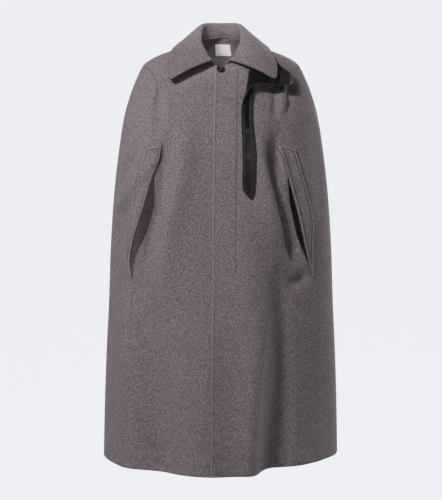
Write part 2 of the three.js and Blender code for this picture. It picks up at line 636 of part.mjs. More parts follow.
const coat = new THREE.Group();
function addPiece(name, geometry, color, roughness = 0.95, metalness = 0) {
  const mesh = new THREE.Mesh(geometry, new THREE.MeshStandardMaterial({ color, roughness, metalness }));
  mesh.name = name;
  coat.add(mesh);
}

const frontRight = frontPiece(-1, LEFT_SLIT);
const frontLeft = frontPiece(1, RIGHT_SLIT);
addPiece("back", backPiece(), WOOL);
addPiece("front_right", frontRight.geometry, WOOL);
addPiece("front_left", frontLeft.geometry, WOOL);
addPiece("placket_strip", placketStrip(), WOOL);
addPiece("welt_right", slitWelt(frontRight, -1), WOOL);
addPiece("welt_left", slitWelt(frontLeft, 1), WOOL);
addPiece("collar", collarPiece(), WOOL);
addPiece("strap", strapPiece(), LEATHER, 0.45);
addPiece("button", buttonPiece(), HORN, 0.35);
addPiece("neck_label", labelPiece(), LABEL_WHITE, 0.8);

export default coat;
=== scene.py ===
import math

import bmesh
import bpy
import numpy as np
from mathutils import Matrix, Vector, kdtree, noise
from mathutils.bvhtree import BVHTree


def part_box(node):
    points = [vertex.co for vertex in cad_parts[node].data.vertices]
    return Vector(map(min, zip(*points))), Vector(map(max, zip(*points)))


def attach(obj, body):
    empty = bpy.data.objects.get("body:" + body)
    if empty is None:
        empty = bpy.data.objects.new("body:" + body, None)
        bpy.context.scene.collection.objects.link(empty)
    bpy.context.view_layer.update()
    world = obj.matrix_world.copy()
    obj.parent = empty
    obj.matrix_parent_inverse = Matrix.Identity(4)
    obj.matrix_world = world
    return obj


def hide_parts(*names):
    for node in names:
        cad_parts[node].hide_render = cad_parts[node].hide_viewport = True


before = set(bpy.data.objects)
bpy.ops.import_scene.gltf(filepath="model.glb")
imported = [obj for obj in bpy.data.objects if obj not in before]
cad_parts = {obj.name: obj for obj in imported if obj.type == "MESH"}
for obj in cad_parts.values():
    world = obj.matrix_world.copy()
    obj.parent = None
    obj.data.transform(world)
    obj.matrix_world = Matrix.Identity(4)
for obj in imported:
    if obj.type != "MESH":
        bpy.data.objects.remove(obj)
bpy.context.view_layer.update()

scene = bpy.context.scene
print("frame loaded:", ", ".join(sorted(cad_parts)))


# Camera, floor and light

camera = {"place": (0, -2.6, -0.533), "lens": 72}
bpy.ops.object.camera_add(location=camera["place"], rotation=(math.pi / 2, 0, 0))
scene.camera = bpy.context.object
scene.camera.data.lens = camera["lens"]
scene.view_settings.view_transform = "Standard"

studio = {
    "floorHeight": -1.47,
    "floorHalf": 9.0,
    "wallAt": 5.0,
    "wallHeight": 7.0,
    "bend": 2.2,
    "bendSteps": 24,
    "nearPaper": (0.56, 0.565, 0.58),
    "farPaper": (0.02, 0.02, 0.021),
    "farFrom": 0.5,
    "farFull": 1.1,
    "glow": (0.84, 0.848, 0.88),
    "world": (0.95, 0.96, 1.0),
    "worldStrength": 0.09,
    "openSpread": 180,
    "lamps": [
        {"name": "keyLamp", "place": (-1.15, -1.62, 0.9), "aim": (0, 0, -0.4), "size": 0.4, "power": 48},
        {"name": "frontLamp", "place": (-0.9, -3.6, 0.5), "aim": (0, 0, -0.5), "size": 1.2, "power": 5},
        {"name": "sideLamp", "place": (2.15, 0.85, 0.2), "aim": (0, 0, -0.6), "size": 1.0, "power": 31},
        {"name": "backLamp", "place": (0.9, 2.9, 1.9), "aim": (0, 0, -0.5), "size": 2.0, "power": 70},
        {"name": "hemLamp", "place": (0.14, 0, -1.36), "aim": (-0.2, 0.1, -0.45), "size": 0.2, "power": 0.27,
         "spread": 34},
        {"name": "neckLamp", "place": (0.05, -0.75, 0.72), "aim": (0, 0.06, -0.03), "size": 0.16, "power": 0.08,
         "spread": 14},
    ],
}


def deselectAll():
    if bpy.context.object and bpy.context.object.mode != "OBJECT":
        bpy.ops.object.mode_set(mode="OBJECT")
    bpy.ops.object.select_all(action="DESELECT")


def activate(piece):
    deselectAll()
    bpy.context.view_layer.objects.active = piece
    piece.select_set(True)


def applyModifier(piece, kind, **settings):
    activate(piece)
    modifier = piece.modifiers.new(kind.lower(), kind)
    for key, value in settings.items():
        setattr(modifier, key, value)
    bpy.ops.object.modifier_apply(modifier=modifier.name)


def buildStudio():
    # one sheet of paper: floor, soft bend and wall
    deselectAll()
    bpy.ops.mesh.primitive_plane_add(size=2, location=(0, 0, 0))
    paper = bpy.context.object
    paper.name = "studioPaper"
    half, height = studio["floorHalf"], studio["floorHeight"]
    for vertex in paper.data.vertices:
        back = vertex.co.y > 0
        vertex.co = (vertex.co.x * half, studio["wallAt"] if back else -half, height)
    bpy.ops.object.mode_set(mode="EDIT")
    bpy.ops.mesh.select_all(action="DESELECT")
    bpy.ops.object.mode_set(mode="OBJECT")
    for edge in paper.data.edges:
        ends = [paper.data.vertices[i].co.y for i in edge.vertices]
        edge.select = min(ends) > 0
    bpy.ops.object.mode_set(mode="EDIT")
    bpy.ops.mesh.extrude_region_move(TRANSFORM_OT_translate={"value": (0, 0, studio["wallHeight"])})
    bpy.ops.object.mode_set(mode="OBJECT")
    applyModifier(paper, "BEVEL", width=studio["bend"], segments=studio["bendSteps"], limit_method="ANGLE")
    bpy.ops.object.shade_smooth()
    world = bpy.data.worlds.new("studioLight")
    world.use_nodes = True
    background = world.node_tree.nodes["Background"]
    background.inputs["Color"].default_value = (*studio["world"], 1)
    background.inputs["Strength"].default_value = studio["worldStrength"]
    scene.world = world
    for lamp in studio["lamps"]:
        bpy.ops.object.light_add(type="AREA", location=lamp["place"])
        light = bpy.context.object
        light.name = lamp["name"]
        light.data.size = lamp["size"]
        light.data.energy = lamp["power"]
        light.data.spread = math.radians(lamp.get("spread", studio["openSpread"]))
        aim = Vector(lamp["aim"]) - Vector(lamp["place"])
        light.rotation_euler = aim.to_track_quat("-Z", "Y").to_euler()
    return paper


studioPaper = buildStudio()
print("studio ready")


# Materials


class Wire:
    # one output of a material's nodes, on which maths can be written
    def __init__(self, finish, socket):
        self.finish = finish
        self.socket = socket

    def __add__(self, other):
        return self.finish.maths("ADD", self, other)

    def __radd__(self, other):
        return self.finish.maths("ADD", other, self)

    def __sub__(self, other):
        return self.finish.maths("SUBTRACT", self, other)

    def __rsub__(self, other):
        return self.finish.maths("SUBTRACT", other, self)

    def __mul__(self, other):
        return self.finish.maths("MULTIPLY", self, other)

    def __rmul__(self, other):
        return self.finish.maths("MULTIPLY", other, self)

    def __truediv__(self, other):
        return self.finish.maths("DIVIDE", self, other)

    def __rtruediv__(self, other):
        return self.finish.maths("DIVIDE", other, self)

    def fade(self, low, high, atLow=0.0, atHigh=1.0):
        return self.finish.node(
            "ShaderNodeMapRange",
            {"interpolation_type": "SMOOTHSTEP"},
            {"Value": self, "From Min": low, "From Max": high, "To Min": atLow, "To Max": atHigh},
        )

    def sine(self):
        return self.finish.maths("SINE", self, 0)

    def distanceTo(self, value):
        return self.finish.maths("ABSOLUTE", self - value, 0)


class Finish:
    # a material, its nodes and what feeds its shader
    def __init__(self, name):
        self.material = bpy.data.materials.new(name)
        self.material.use_nodes = True
        self.tree = self.material.node_tree
        self.shader = self.tree.nodes["Principled BSDF"]

    def node(self, kind, settings, values, output=0):
        new = self.tree.nodes.new(kind)
        stops = settings.pop("stops", None)
        for key, value in settings.items():
            setattr(new, key, value)
        if stops:
            while len(new.color_ramp.elements) < len(stops):
                new.color_ramp.elements.new(0.5)
            for element, (place, colour) in zip(new.color_ramp.elements, stops):
                element.position = place
                element.color = (*colour, 1)
        for key, value in values.items():
            if isinstance(value, Wire):
                self.tree.links.new(value.socket, new.inputs[key])
            else:
                new.inputs[key].default_value = value
        return Wire(self, new.outputs[output])

    def maths(self, operation, first, second):
        return self.node("ShaderNodeMath", {"operation": operation}, {0: first, 1: second})

    def place(self, scale=(1, 1, 1)):
        spot = self.node("ShaderNodeTexCoord", {}, {}, "Object")
        return self.node("ShaderNodeMapping", {}, {"Vector": spot, "Scale": scale})

    def attribute(self, name):
        return self.node("ShaderNodeAttribute", {"attribute_name": name}, {}, "Fac")

    def grain(self, scale, stretch=(1, 1, 1), detail=3.0, rough=0.55, bent=0.0):
        values = {"Vector": self.place(stretch), "Scale": scale, "Detail": detail, "Roughness": rough}
        values["Distortion"] = bent
        return self.node("ShaderNodeTexNoise", {}, values, "Fac")

    def blend(self, share, first, second):
        # colours are mixed here, because maths would turn them grey
        mixed = self.node("ShaderNodeMix", {"data_type": "RGBA"}, {0: share}, 2)
        mixNode = mixed.socket.node
        for key, value in ((6, first), (7, second)):
            if isinstance(value, Wire):
                self.tree.links.new(value.socket, mixNode.inputs[key])
            else:
                mixNode.inputs[key].default_value = (*value, 1)
        return mixed

    def relief(self, height, distance, strength=1.0):
        values = {"Height": height, "Distance": distance, "Strength": strength}
        return self.node("ShaderNodeBump", {}, values, "Normal")

    def feed(self, **values):
        for key, value in values.items():
            socket = self.shader.inputs[key.replace("_", " ")]
            if isinstance(value, Wire):
                self.tree.links.new(value.socket, socket)
            else:
                socket.default_value = value


def paperFinish():
    # white paper: plain under the coat, and lit evenly by the room further back
    finish = Finish("studioPaper")
    depth = finish.node("ShaderNodeSeparateXYZ", {}, {"Vector": finish.place()}, "Y")
    far = depth.fade(studio["farFrom"], studio["farFull"])
    finish.feed(
        Base_Color=finish.blend(far, studio["nearPaper"], studio["farPaper"]),
        Emission_Color=finish.blend(far, (0, 0, 0), studio["glow"]),
        Emission_Strength=1.0,
        Roughness=0.9,
        Specular_IOR_Level=0.0,
    )
    return finish.material


studioPaper.data.materials.append(paperFinish())

wool = {
    "base": (0.16, 0.13, 0.1445),
    "light": (0.34, 0.291, 0.314),
    "dark": (0.05, 0.037, 0.0445),
    "cloud": 16,  # grain sizes, as scales of the noise
    "fleck": 480,
    "fibre": 1400,
    "cross": 980,
    "cloudShade": 0.72,
    "cloudShare": 0.1,
    "lightShare": 0.9,
    "darkShare": 0.85,
    "napDepth": 0.0009,
    "napStrength": 0.8,
    "roughness": 0.93,
    "sheen": 0.08,
    "sheenTint": (0.8, 0.75, 0.8, 1),
}


def woolFinish(name, shade=1.0, lines=()):
    # brushed coating: light and dark fibres mixed in the yarn, with a short nap that lies downwards. shade
    # makes the whole cloth darker as painted shade, and the lines paint highlights and shade along edges and
    # seams
    finish = Finish(name)
    cloud = finish.grain(wool["cloud"], (1, 1, 0.6), detail=2)
    fleck = finish.grain(wool["fleck"], (1, 1, 0.75), detail=2, rough=0.7, bent=0.3)
    fibre = finish.grain(wool["fibre"], (1, 1, 0.3), detail=2, rough=0.6)
    cross = finish.grain(wool["cross"], (0.35, 0.35, 1), detail=2, rough=0.6)
    lightShare = (fleck * 0.6 + fibre * 0.22 + cross * 0.18).fade(0.47, 0.6) * wool["lightShare"]
    darkShare = (fleck * 0.6 + cross * 0.4).fade(0.5, 0.37) * wool["darkShare"]
    tones = {key: tuple(shade * part for part in wool[key]) for key in ("base", "light", "dark")}
    cloudTone = tuple(part * wool["cloudShade"] for part in tones["base"])
    colour = finish.blend(lightShare, tones["base"], tones["light"])
    colour = finish.blend(darkShare, colour, tones["dark"])
    colour = finish.blend(cloud.fade(0.35, 0.7) * wool["cloudShare"], colour, cloudTone)
    height = fibre * 0.35 + cross * 0.25 + fleck * 0.4
    for line in lines:
        away = finish.attribute(line["attribute"])
        groove = away.distanceTo(line["at"]).fade(line["width"], 0.0)
        height = height - groove * line["depth"]
        colour = finish.blend(groove * line["share"], colour, tones[line["tone"]])
    finish.feed(
        Base_Color=colour,
        Roughness=wool["roughness"],
        Normal=finish.relief(height, wool["napDepth"], wool["napStrength"]),
        Sheen_Weight=wool["sheen"],
        Sheen_Roughness=0.45,
        Sheen_Tint=wool["sheenTint"],
        Specular_IOR_Level=0.25,
    )
    return finish.material


def threadFinish(name, dark, light):
    finish = Finish(name)
    twist = finish.grain(1500, (1, 1, 1), detail=2)
    colour = finish.blend(twist.fade(0.3, 0.7), dark, light)
    finish.feed(Base_Color=colour, Roughness=0.7, Normal=finish.relief(twist, 0.0002, 0.6))
    return finish.material


def leatherFinish():
    # smooth black leather: fine grain, pale rubbed edges with a painted highlight that grows where the strap
    # folds over, two stitched rows and a rough, zigzag-sewn loop end
    finish = Finish("strapLeather")
    across = finish.attribute("across")
    along = finish.attribute("along")
    pores = finish.grain(900, (1, 1, 1), detail=3, rough=0.65)
    creaseGrain = finish.grain(120, (1, 1, 2.2), detail=4, rough=0.6, bent=0.6)
    edge = finish.attribute("edge")
    border = edge.fade(*strap["edgeWearAndHighlight"])
    slotBorder = finish.attribute("slot").fade(*strap["slotRimHighlight"])
    stitched = edge.distanceTo(strap["stitchInset"]).fade(strap["stitchWidth"], 0.0)
    rough = along.distanceTo(strap["roughAt"]).fade(strap["roughHalf"], strap["roughHalf"] * 0.75)
    zigzag = (along * 2 * math.pi / strap["zigzagPitch"]).sine() * strap["zigzagReach"] + 0.5
    mottle = finish.grain(420, (1, 1, 1), detail=3, rough=0.7)
    zigzagLine = (across - zigzag).distanceTo(0.0).fade(0.1, 0.02) * rough
    colour = finish.blend(creaseGrain.fade(0.4, 0.75) * 0.55, strap["leather"], strap["worn"])
    colour = finish.blend(mottle.fade(0.5, 0.66) * rough * 0.5, colour, strap["rubbedAndHighlight"])
    colour = finish.blend(zigzagLine * 0.55, colour, strap["rubbedAndHighlight"])
    # the pale worn edge is painted paler still where the strap folds over, as a painted highlight on the edge
    # that catches the light
    foldHighlightShare = along.distanceTo(strap["foldHighlightAt"]).fade(*strap["foldHighlightReach"])
    colour = finish.blend(border * (0.4 + foldHighlightShare * 0.5), colour, strap["rubbedAndHighlight"])
    # painted highlight: a pale rim round each slot, on its raised lip
    colour = finish.blend(slotBorder * 0.9, colour, strap["thread"])
    height = pores * 0.25 + creaseGrain * 0.45 - stitched * 0.9 + zigzagLine * 0.8 + slotBorder * 0.8
    gloss = creaseGrain.fade(0.3, 0.8, 0.4, 0.54) + rough * 0.12 + border * 0.1
    relief = finish.relief(height, strap["grainDepth"], 0.8)
    finish.feed(Base_Color=colour, Roughness=gloss, Normal=relief, Specular_IOR_Level=strap["shine"])
    return finish.material


def hornFinish():
    finish = Finish("buttonHorn")
    streaks = finish.grain(220, (1, 1, 0.35), detail=4, rough=0.6, bent=1.2)
    colour = finish.node("ShaderNodeValToRGB", {"stops": button["tones"]}, {"Fac": streaks}, "Color")
    scratches = finish.grain(1800, (1, 1, 0.2), detail=2)
    finish.feed(Base_Color=colour, Roughness=scratches.fade(0.3, 0.8, 0.2, 0.42), Coat_Weight=0.25)
    finish.feed(Normal=finish.relief(scratches, 0.0001, 0.3))
    return finish.material


def labelFinish():
    # woven satin tape: fine ribs across, a turned edge and a faint sheen
    finish = Finish("labelSatin")
    spot = finish.node("ShaderNodeSeparateXYZ", {}, {"Vector": finish.place()}, "Z")
    ribs = (spot * 2 * math.pi / label["ribPitch"]).sine()
    threads = finish.grain(1400, (1, 1, 3), detail=2)
    edge = finish.attribute("edge")
    turned = edge.distanceTo(label["turnedIn"]).fade(label["turnedWidth"], 0.0)
    colour = finish.blend(threads.fade(0.35, 0.7), label["cloth"], label["shade"])
    colour = finish.blend(turned * 0.35, colour, label["line"])
    height = ribs * 0.2 + threads * 0.3 - turned * 0.8
    gloss = threads.fade(0.2, 0.8, 0.5, 0.68)
    finish.feed(Base_Color=colour, Roughness=gloss, Normal=finish.relief(height, label["ribDepth"]))
    return finish.material


# Cloth panels: each is a thin shell on the form of its solid

shell = {
    "levels": 2,
    "fineLevels": 3,
    "rimAngle": 58,
    "cornerAngle": 24,
    "rimCrease": 0.82,
    "joinDoubles": 0.00002,
    "flatWithin": 55,
    "squareWithin": 65,
    "rimStep": 0.0015,
}


def shellFrom(nodeName, pieceName, levels=shell["levels"], sharpBelow=-9.0):
    # a smooth copy of a solid, and its rim before smoothing. Below sharpBelow even a slight corner stays sharp
    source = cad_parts[nodeName]
    piece = bpy.data.objects.new(pieceName, source.data.copy())
    bpy.context.collection.objects.link(piece)
    piece.data.materials.clear()
    activate(piece)
    bpy.ops.mesh.customdata_custom_splitnormals_clear()
    bpy.ops.object.mode_set(mode="EDIT")
    bpy.ops.mesh.select_all(action="SELECT")
    bpy.ops.mesh.remove_doubles(threshold=shell["joinDoubles"])
    bpy.ops.mesh.tris_convert_to_quads(
        face_threshold=math.radians(shell["flatWithin"]), shape_threshold=math.radians(shell["squareWithin"])
    )
    bpy.ops.object.mode_set(mode="OBJECT")
    work = bmesh.new()
    work.from_mesh(piece.data)
    creases = work.edges.layers.float.get("crease_edge") or work.edges.layers.float.new("crease_edge")
    rim = []
    for edge in work.edges:
        edge.smooth = True
        low = max(vertex.co.z for vertex in edge.verts) < sharpBelow
        rimAngle = math.radians(shell["cornerAngle"] if low else shell["rimAngle"])
        if len(edge.link_faces) == 2 and edge.calc_face_angle() > rimAngle:
            edge[creases] = shell["rimCrease"]
            rim.append((edge.verts[0].co.copy(), edge.verts[1].co.copy()))
    work.to_mesh(piece.data)
    work.free()
    if levels:
        applyModifier(piece, "SUBSURF", levels=levels, render_levels=levels)
    for face in piece.data.polygons:
        face.use_smooth = True
    return piece, rim


def vertexPoints(piece):
    return [vertex.co.copy() for vertex in piece.data.vertices]


def readPoints(piece):
    points = np.empty(len(piece.data.vertices) * 3)
    piece.data.vertices.foreach_get("co", points)
    return points.reshape(-1, 3)


def writePoints(piece, points):
    piece.data.vertices.foreach_set("co", points.ravel())
    piece.data.update()


def writeAttribute(piece, name, values):
    attribute = piece.data.attributes.new(name, "FLOAT", "POINT")
    attribute.data.foreach_set("value", np.asarray(values, dtype=np.float32))


def distancesTo(points, segments, spacing=shell["rimStep"], creases=None):
    # how far each point lies from the nearest of the segments, which are first draped where creases are given
    samples = []
    for start, end in segments:
        count = max(1, int((end - start).length / spacing))
        samples += [start.lerp(end, k / count) for k in range(count + 1)]
    if creases:
        samples = draped(np.array(samples), creases)
    tree = kdtree.KDTree(len(samples))
    for index, sample in enumerate(samples):
        tree.insert(sample, index)
    tree.balance()
    return np.array([tree.find(point)[2] for point in points])


def smoothStep(value, low, high):
    share = np.clip((value - low) / (high - low), 0, 1)
    return share * share * (3 - 2 * share)


# Creases, as paths of x and z, in the order in which they were laid.
# depth: how far the hollow goes in, negative for a ridge.
# left, right: its widths, towards smaller and larger x on a path that runs down.
# ends: the lengths over which it fades at its start and its end.
# stops: the slit whose cut it ends at. clothOnly: it leaves the strap above it where it is.
frontCreases = [
    {"path": [(0.173, -0.395), (0.18, -0.44), (0.193, -0.49), (0.207, -0.54)],
     "depth": -0.009, "left": 0.014, "right": 0.03, "ends": (0.045, 0.035), "stops": "leftSlit"},
    {"path": [(0.137, -0.25), (0.146, -0.3), (0.158, -0.35)],
     "depth": 0.016, "left": 0.027, "right": 0.012, "ends": (0.045, 0.045), "stops": "leftSlit"},
    {"path": [(0.122, -0.3), (0.134, -0.36), (0.151, -0.43), (0.172, -0.51), (0.186, -0.555)],
     "depth": 0.017, "left": 0.012, "right": 0.026, "ends": (0.085, 0.035), "stops": "leftSlit"},
    {"path": [(0.094, -0.26), (0.103, -0.33), (0.123, -0.41), (0.147, -0.49)],
     "depth": -0.011, "left": 0.03, "right": 0.017, "ends": (0.07, 0.09)},
    {"path": [(0.212, -0.598), (0.198, -0.61), (0.176, -0.618)],
     "depth": 0.011, "left": 0.016, "right": 0.013, "ends": (0.014, 0.026)},
    {"path": [(0.134, -0.6), (0.137, -0.68), (0.129, -0.78), (0.114, -0.88), (0.106, -0.98), (0.104, -1.08)],
     "depth": 0.013, "left": 0.018, "right": 0.042, "ends": (0.09, 0.01)},
    {"path": [(0.1, -0.68), (0.096, -0.78), (0.084, -0.9), (0.078, -1.08)],
     "depth": -0.007, "left": 0.026, "right": 0.016, "ends": (0.12, 0.01)},
    {"path": [(0.205, -0.68), (0.215, -0.8), (0.226, -0.95), (0.232, -1.07)],
     "depth": 0.006, "left": 0.03, "right": 0.026, "ends": (0.1, 0.01)},
    {"path": [(-0.137, -0.262), (-0.143, -0.33), (-0.153, -0.41), (-0.174, -0.5), (-0.19, -0.57)],
     "depth": 0.009, "left": 0.013, "right": 0.02, "ends": (0.05, 0.06)},
    {"path": [(-0.092, -0.24), (-0.094, -0.3), (-0.1, -0.36), (-0.12, -0.45), (-0.138, -0.54), (-0.148, -0.66)],
     "depth": -0.012, "left": 0.019, "right": 0.03, "ends": (0.09, 0.12)},
    {"path": [(-0.172, -0.32), (-0.2, -0.352), (-0.232, -0.388), (-0.258, -0.425)],
     "depth": -0.008, "left": 0.013, "right": 0.014, "ends": (0.035, 0.04)},
    {"path": [(-0.205, -0.27), (-0.232, -0.32), (-0.258, -0.37)],
     "depth": 0.008, "left": 0.012, "right": 0.011, "ends": (0.05, 0.05)},
    {"path": [(-0.225, -0.395), (-0.244, -0.45), (-0.256, -0.52)],
     "depth": 0.009, "left": 0.014, "right": 0.016, "ends": (0.05, 0.07)},
    {"path": [(-0.212, -0.6), (-0.2, -0.67), (-0.176, -0.78), (-0.154, -0.9), (-0.14, -1.07)],
     "depth": 0.021, "left": 0.045, "right": 0.042, "ends": (0.08, 0.02)},
    {"path": [(-0.034, -0.74), (-0.034, -0.88), (-0.028, -1.08)],
     "depth": -0.011, "left": 0.055, "right": 0.034, "ends": (0.16, 0.01)},
    {"path": [(0.1, -0.118), (0.125, -0.124), (0.155, -0.124), (0.183, -0.108)],
     "depth": 0.016, "left": 0.02, "right": 0.03, "ends": (0.025, 0.03), "clothOnly": True},
    {"path": [(-0.126, -0.122), (-0.09, -0.103), (-0.055, -0.085), (-0.028, -0.072)],
     "depth": 0.012, "left": 0.015, "right": 0.03, "ends": (0.02, 0.025)},
    {"path": [(-0.24, -0.66), (-0.238, -0.8), (-0.232, -1.08)],
     "depth": -0.008, "left": 0.024, "right": 0.032, "ends": (0.12, 0.02)},
    {"path": [(-0.154, -0.13), (-0.158, -0.175), (-0.163, -0.25)],
     "depth": 0.006, "left": 0.011, "right": 0.013, "ends": (0.03, 0.07)},
    {"path": [(-0.13, -0.14), (-0.134, -0.2), (-0.132, -0.26)],
     "depth": -0.0045, "left": 0.013, "right": 0.017, "ends": (0.04, 0.06)},
    {"path": [(0.17, -0.112), (0.158, -0.14), (0.152, -0.18)],
     "depth": -0.008, "left": 0.009, "right": 0.009, "ends": (0.02, 0.04)},
    {"path": [(0.185, -0.118), (0.174, -0.145), (0.168, -0.19)],
     "depth": 0.008, "left": 0.01, "right": 0.013, "ends": (0.02, 0.06)},
    {"path": [(0.145, -0.12), (0.138, -0.15), (0.134, -0.2)],
     "depth": 0.006, "left": 0.01, "right": 0.01, "ends": (0.02, 0.05)},
    {"path": [(0.24, -0.22), (0.25, -0.32), (0.258, -0.44)],
     "depth": 0.006, "left": 0.02, "right": 0.016, "ends": (0.08, 0.08)},
    {"path": [(0.06, -0.42), (0.066, -0.55), (0.074, -0.72), (0.07, -0.95), (0.066, -1.08)],
     "depth": -0.004, "left": 0.026, "right": 0.03, "ends": (0.12, 0.01)},
]
backCreases = [
    {"path": [(0.0, -0.2), (0.006, -0.4), (0.004, -0.7), (-0.006, -1.07)],
     "depth": 0.0055, "left": 0.035, "right": 0.032, "ends": (0.14, 0.01)},
    {"path": [(-0.085, -0.24), (-0.092, -0.5), (-0.1, -0.8), (-0.104, -1.07)],
     "depth": -0.0055, "left": 0.032, "right": 0.03, "ends": (0.16, 0.01)},
    {"path": [(0.092, -0.3), (0.096, -0.55), (0.1, -0.85), (0.106, -1.07)],
     "depth": -0.005, "left": 0.03, "right": 0.034, "ends": (0.14, 0.01)},
    {"path": [(-0.16, -0.15), (-0.172, -0.24), (-0.178, -0.36)],
     "depth": 0.0045, "left": 0.016, "right": 0.02, "ends": (0.04, 0.09)},
    {"path": [(0.165, -0.145), (0.178, -0.25), (0.186, -0.4)],
     "depth": 0.0048, "left": 0.02, "right": 0.016, "ends": (0.04, 0.11)},
    {"path": [(-0.21, -0.34), (-0.222, -0.5), (-0.226, -0.68)],
     "depth": -0.0042, "left": 0.02, "right": 0.018, "ends": (0.1, 0.12)},
    {"path": [(0.216, -0.42), (0.224, -0.58), (0.232, -0.8)],
     "depth": -0.0045, "left": 0.018, "right": 0.022, "ends": (0.1, 0.14)},
    {"path": [(-0.045, -0.09), (-0.07, -0.12), (-0.1, -0.17)],
     "depth": 0.0028, "left": 0.012, "right": 0.012, "ends": (0.02, 0.05)},
    {"path": [(0.05, -0.085), (0.078, -0.12), (0.102, -0.175)],
     "depth": 0.003, "left": 0.012, "right": 0.012, "ends": (0.02, 0.05)},
]
slits = {
    # where the +X front is cut: x and y of the outer edge at each distance down, and how the cut slants inwards
    "leftSlit": {
        "down": [0.273, 0.298, 0.325, 0.351, 0.376, 0.401, 0.4285, 0.46, 0.494, 0.53, 0.565, 0.6],
        "x": [0.146, 0.1535, 0.1609, 0.1683, 0.1742, 0.1809, 0.1881, 0.1955, 0.2028, 0.2109, 0.2197, 0.228],
        "y": [
            -0.1216, -0.1217, -0.122, -0.122, -0.122, -0.1213,
            -0.1196, -0.1175, -0.1153, -0.1125, -0.1083, -0.1043,
        ],
        "slant": 0.6,
        "fade": 0.03,
    },
}
crumple = {
    "depth": 0.0016,
    "size": 11.0,
    "stretch": (1, 0.4, 0.55),
    "seamFrom": 0.012,  # nearer than this to the side seams the cloth stays as it is
    "seamTo": 0.05,
    "roundness": (0.29, 0.2),  # half width and half depth of the round form that gives the outward direction
}


def pathReach(points, crease):
    # signed distance to the path's nearest stretch, how far along it that is, and the path's length
    path = np.array(crease["path"])
    flat = points[:, [0, 2]]
    best = np.full(len(flat), 9.0)
    side = np.zeros(len(flat))
    along = np.zeros(len(flat))
    walked = 0.0
    for start, end in zip(path[:-1], path[1:]):
        run = end - start
        length = float(np.hypot(*run))
        unit = run / length
        offset = flat - start
        t = offset @ unit
        inside = np.clip(t, 0, length)
        near = start + inside[:, None] * unit
        away = np.hypot(*(flat - near).T)
        closer = away < best
        best = np.where(closer, away, best)
        side = np.where(closer, offset[:, 0] * -unit[1] + offset[:, 1] * unit[0], side)
        along = np.where(closer, walked + t, along)
        walked += length
    return best * np.sign(side), along, walked


def creaseDepth(points, creases):
    depth = np.zeros(len(points))
    for crease in creases:
        away, along, length = pathReach(points, crease)
        width = np.where(away > 0, crease["right"], crease["left"])
        startFade, endFade = crease["ends"]
        share = smoothStep(along, -startFade, startFade)
        share *= 1 - smoothStep(along, length - endFade, length + endFade)
        if "stops" in crease:
            share *= slitShare(points, slits[crease["stops"]])
        depth += crease["depth"] * share * np.exp(-((away / width) ** 2))
    return depth


def slitShare(points, slit):
    # 1 in front of the slit's cut and 0 behind it, but 1 everywhere above and below the slit
    x, y, down = points[:, 0], points[:, 1], -points[:, 2]
    cutX, cutY = (np.interp(down, slit["down"], slit[key]) for key in ("x", "y"))
    past = x - cutX + slit["slant"] * (y - cutY)
    top, end = slit["down"][0], slit["down"][-1]
    beside = smoothStep(down, top, top + slit["fade"]) * (1 - smoothStep(down, end - slit["fade"], end))
    return 1 - beside * (past > 0)


def draped(points, creases):
    # points of the cloth moved in and out square to the garment's round form
    depth = creaseDepth(points, creases)
    for index, point in enumerate(points):
        spot = Vector(point * crumple["stretch"]) * crumple["size"]
        depth[index] += crumple["depth"] * noise.noise(spot)
    depth *= smoothStep(np.abs(points[:, 1]), crumple["seamFrom"], crumple["seamTo"])
    outward = points[:, :2] / np.square(crumple["roundness"])
    outward /= np.linalg.norm(outward, axis=1)[:, None]
    moved = points.copy()
    moved[:, :2] -= outward * depth[:, None]
    return moved


def drape(piece, creases):
    writePoints(piece, draped(readPoints(piece), creases))


seams = {
    # where a front's cloth is taken in at the shoulder: paths of x and z
    "rightDart": [(-0.197, -0.062), (-0.176, -0.082), (-0.164, -0.106), (-0.16, -0.14), (-0.164, -0.178)],
    "leftDart": [(0.197, -0.064), (0.188, -0.082), (0.171, -0.106), (0.157, -0.14), (0.154, -0.165)],
}
# Lines in the wool: how far from an edge or a seam, how wide and deep, and how much lighter or darker they are
# painted, as painted highlights and painted shade.
# painted shade: every rim of the cloth is darkened a little, where the cloth turns away from the light
edgePaintedShade = {"attribute": "edge", "at": 0.0, "width": 0.0045, "depth": 0.0, "tone": "dark", "share": 0.4}
faceLines = [
    edgePaintedShade,
    # painted highlight along the lapping front's free edge, and a painted shadow line just beside it
    {"attribute": "closure", "at": 0.0022, "width": 0.0034, "depth": -0.7, "tone": "light", "share": 0.46},
    {"attribute": "closure", "at": 0.0068, "width": 0.003, "depth": 0.5, "tone": "dark", "share": 0.22},
    # painted shade in the grooves of the darts and of the placket stitching
    {"attribute": "dart", "at": 0.0, "width": 0.0026, "depth": 1.6, "tone": "dark", "share": 0.5},
    {"attribute": "placket", "at": 0.0, "width": 0.0036, "depth": 0.9, "tone": "dark", "share": 0.36},
]
weltRow = {"inset": 0.0056, "fromTop": 0.014, "fromEnd": 0.03, "step": 0.004, "reach": 0.006}
# how dark the painted shade in each welt's stitched groove is, and how deep that groove is
weltShare = {"left": 0.65, "right": 0.35}


# a painted highlight along the welt's raised free edge, and painted shade in its stitched groove
def weltLines(share):
    edge = {"attribute": "edge"}
    return [
        {**edge, "at": 0.0018, "width": 0.0022, "depth": -0.8, "tone": "light", "share": 0.4},
        {**edge, "at": weltRow["inset"], "width": 0.0024, "depth": 2 * share, "tone": "dark", "share": share},
    ]


def surfaceOf(piece):
    return BVHTree.FromPolygons(vertexPoints(piece), [tuple(face.vertices) for face in piece.data.polygons])


sight = {"from": -1.5, "slope": 1.2}


def onFront(surface, x, z):
    # the point of a surface that is seen from the front at x and z, and its direction
    return surface.ray_cast(Vector((x, sight["from"], z)), Vector((0, 1, 0)))[:2]


